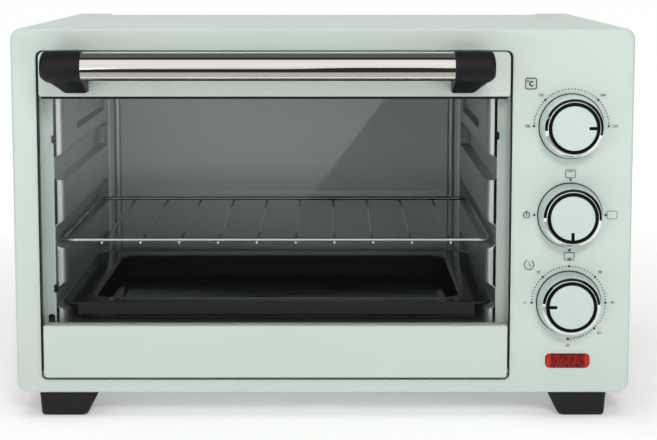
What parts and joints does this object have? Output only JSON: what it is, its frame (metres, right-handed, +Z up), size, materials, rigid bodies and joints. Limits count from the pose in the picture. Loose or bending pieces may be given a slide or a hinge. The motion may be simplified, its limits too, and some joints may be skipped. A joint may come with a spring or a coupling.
{
  "type": "toaster oven",
  "caption": "Countertop toaster oven with a drop-down glass door, tube handle, round control knobs, wire rack, baking tray and moulded feet.",
  "frame": {"origin": "centre of the whole object's box at the height of the worktop", "axes": "+X to the user's right along the front, +Y from the door towards the back, +Z up"},
  "size_m": [0.42, 0.3494, 0.267],
  "materials": {
    "mint_enamel": "satin pale mint powder coat",
    "mint_plastic": "satin pale mint moulding",
    "zinc_steel": "plain zinc-coated sheet",
    "cavity_steel": "aluminised steel sheet with a dull mirror finish",
    "black_plastic": "fine satin black moulding",
    "door_glass": "clear tempered glass with a slight grey tint",
    "polished_steel": "polished stainless tube with fine lengthways grain",
    "chrome": "bright chrome plating",
    "black_enamel": "glossy black vitreous enamel",
    "heater_tube": "heat-stained steel sheath",
    "ceramic": "unglazed white steatite",
    "brown_phenolic": "dark brown moulded phenolic",
    "red_lens": "clear red moulded lens with fine ribs"
  },
  "bodies": {
    "case": {"front_panel": "mint_enamel", "outer_cover": "mint_enamel", "base_plate": "zinc_steel", "rear_panel": "zinc_steel", "foot_front_left": "black_plastic", "foot_front_right": "black_plastic", "foot_rear_left": "black_plastic", "foot_rear_right": "black_plastic", "cavity_left_wall": "cavity_steel", "cavity_right_wall": "cavity_steel", "cavity_rear_wall": "cavity_steel", "cavity_ceiling": "cavity_steel", "cavity_floor": "cavity_steel", "heat_shield": "zinc_steel", "door_spring": "zinc_steel", "control_bracket": "zinc_steel", "thermostat_body": "brown_phenolic", "function_switch_body": "brown_phenolic", "timer_body": "zinc_steel", "timer_bell": "chrome", "indicator_lens": "red_lens", "indicator_housing": "black_plastic", "terminal_block": "ceramic", "cord_gland": "black_plastic", "heater_upper_front": "heater_tube", "heater_upper_rear": "heater_tube", "heater_holder_upper_left": "ceramic", "heater_holder_upper_right": "ceramic", "heater_lower_front": "heater_tube", "heater_lower_rear": "heater_tube", "heater_holder_lower_left": "ceramic", "heater_holder_lower_right": "ceramic"},
    "door": {"door_glass": "door_glass", "door_upper_rail": "mint_enamel", "door_lower_rail": "mint_enamel", "handle_tube": "polished_steel", "handle_bracket_left": "black_plastic", "handle_bracket_right": "black_plastic", "hinge_pin_left": "zinc_steel", "hinge_pin_right": "zinc_steel", "door_arm": "zinc_steel"},
    "temperature_control": {"temperature_knob": "mint_plastic", "temperature_knob_ring": "chrome", "temperature_knob_insert": "black_plastic", "temperature_knob_cap": "mint_plastic", "temperature_shaft": "zinc_steel"},
    "function_control": {"function_knob": "mint_plastic", "function_knob_ring": "chrome", "function_knob_insert": "black_plastic", "function_knob_cap": "mint_plastic", "function_shaft": "zinc_steel"},
    "timer_control": {"timer_knob": "mint_plastic", "timer_knob_ring": "chrome", "timer_knob_insert": "black_plastic", "timer_knob_cap": "mint_plastic", "timer_shaft": "zinc_steel"},
    "rack": {"wire_rack": "chrome"},
    "tray": {"baking_tray": "black_enamel"}
  },
  "joints": [
    {"name": "door_hinge", "type": "hinge", "parent": "case", "child": "door", "pos_m": [-0.0325, -0.1248, 0.032], "axis": [1, 0, 0], "range_deg": [0, 85], "stiffness_Nm_per_rad": 0.3, "springref_deg": -28.65},
    {"name": "temperature_turn", "type": "hinge", "parent": "case", "child": "temperature_control", "pos_m": [0.1677, -0.1293, 0.201], "axis": [0, 1, 0], "range_deg": [-180, 0]},
    {"name": "function_turn", "type": "hinge", "parent": "case", "child": "function_control", "pos_m": [0.1677, -0.1293, 0.1405], "axis": [0, 1, 0], "range_deg": [-270, 0]},
    {"name": "timer_turn", "type": "hinge", "parent": "case", "child": "timer_control", "pos_m": [0.1677, -0.1293, 0.08], "axis": [0, 1, 0], "range_deg": [0, 270]},
    {"name": "rack_slide", "type": "slide", "parent": "case", "child": "rack", "axis": [0, -1, 0], "range_m": [0, 0.12]},
    {"name": "tray_slide", "type": "slide", "parent": "case", "child": "tray", "axis": [0, -1, 0], "range_m": [0, 0.075]}
  ],
  "couplings": [
    {"joint": "rack_slide", "follows": "door_hinge", "m_per_rad": 0.08},
    {"joint": "tray_slide", "follows": "door_hinge", "m_per_rad": 0.05}
  ]
}
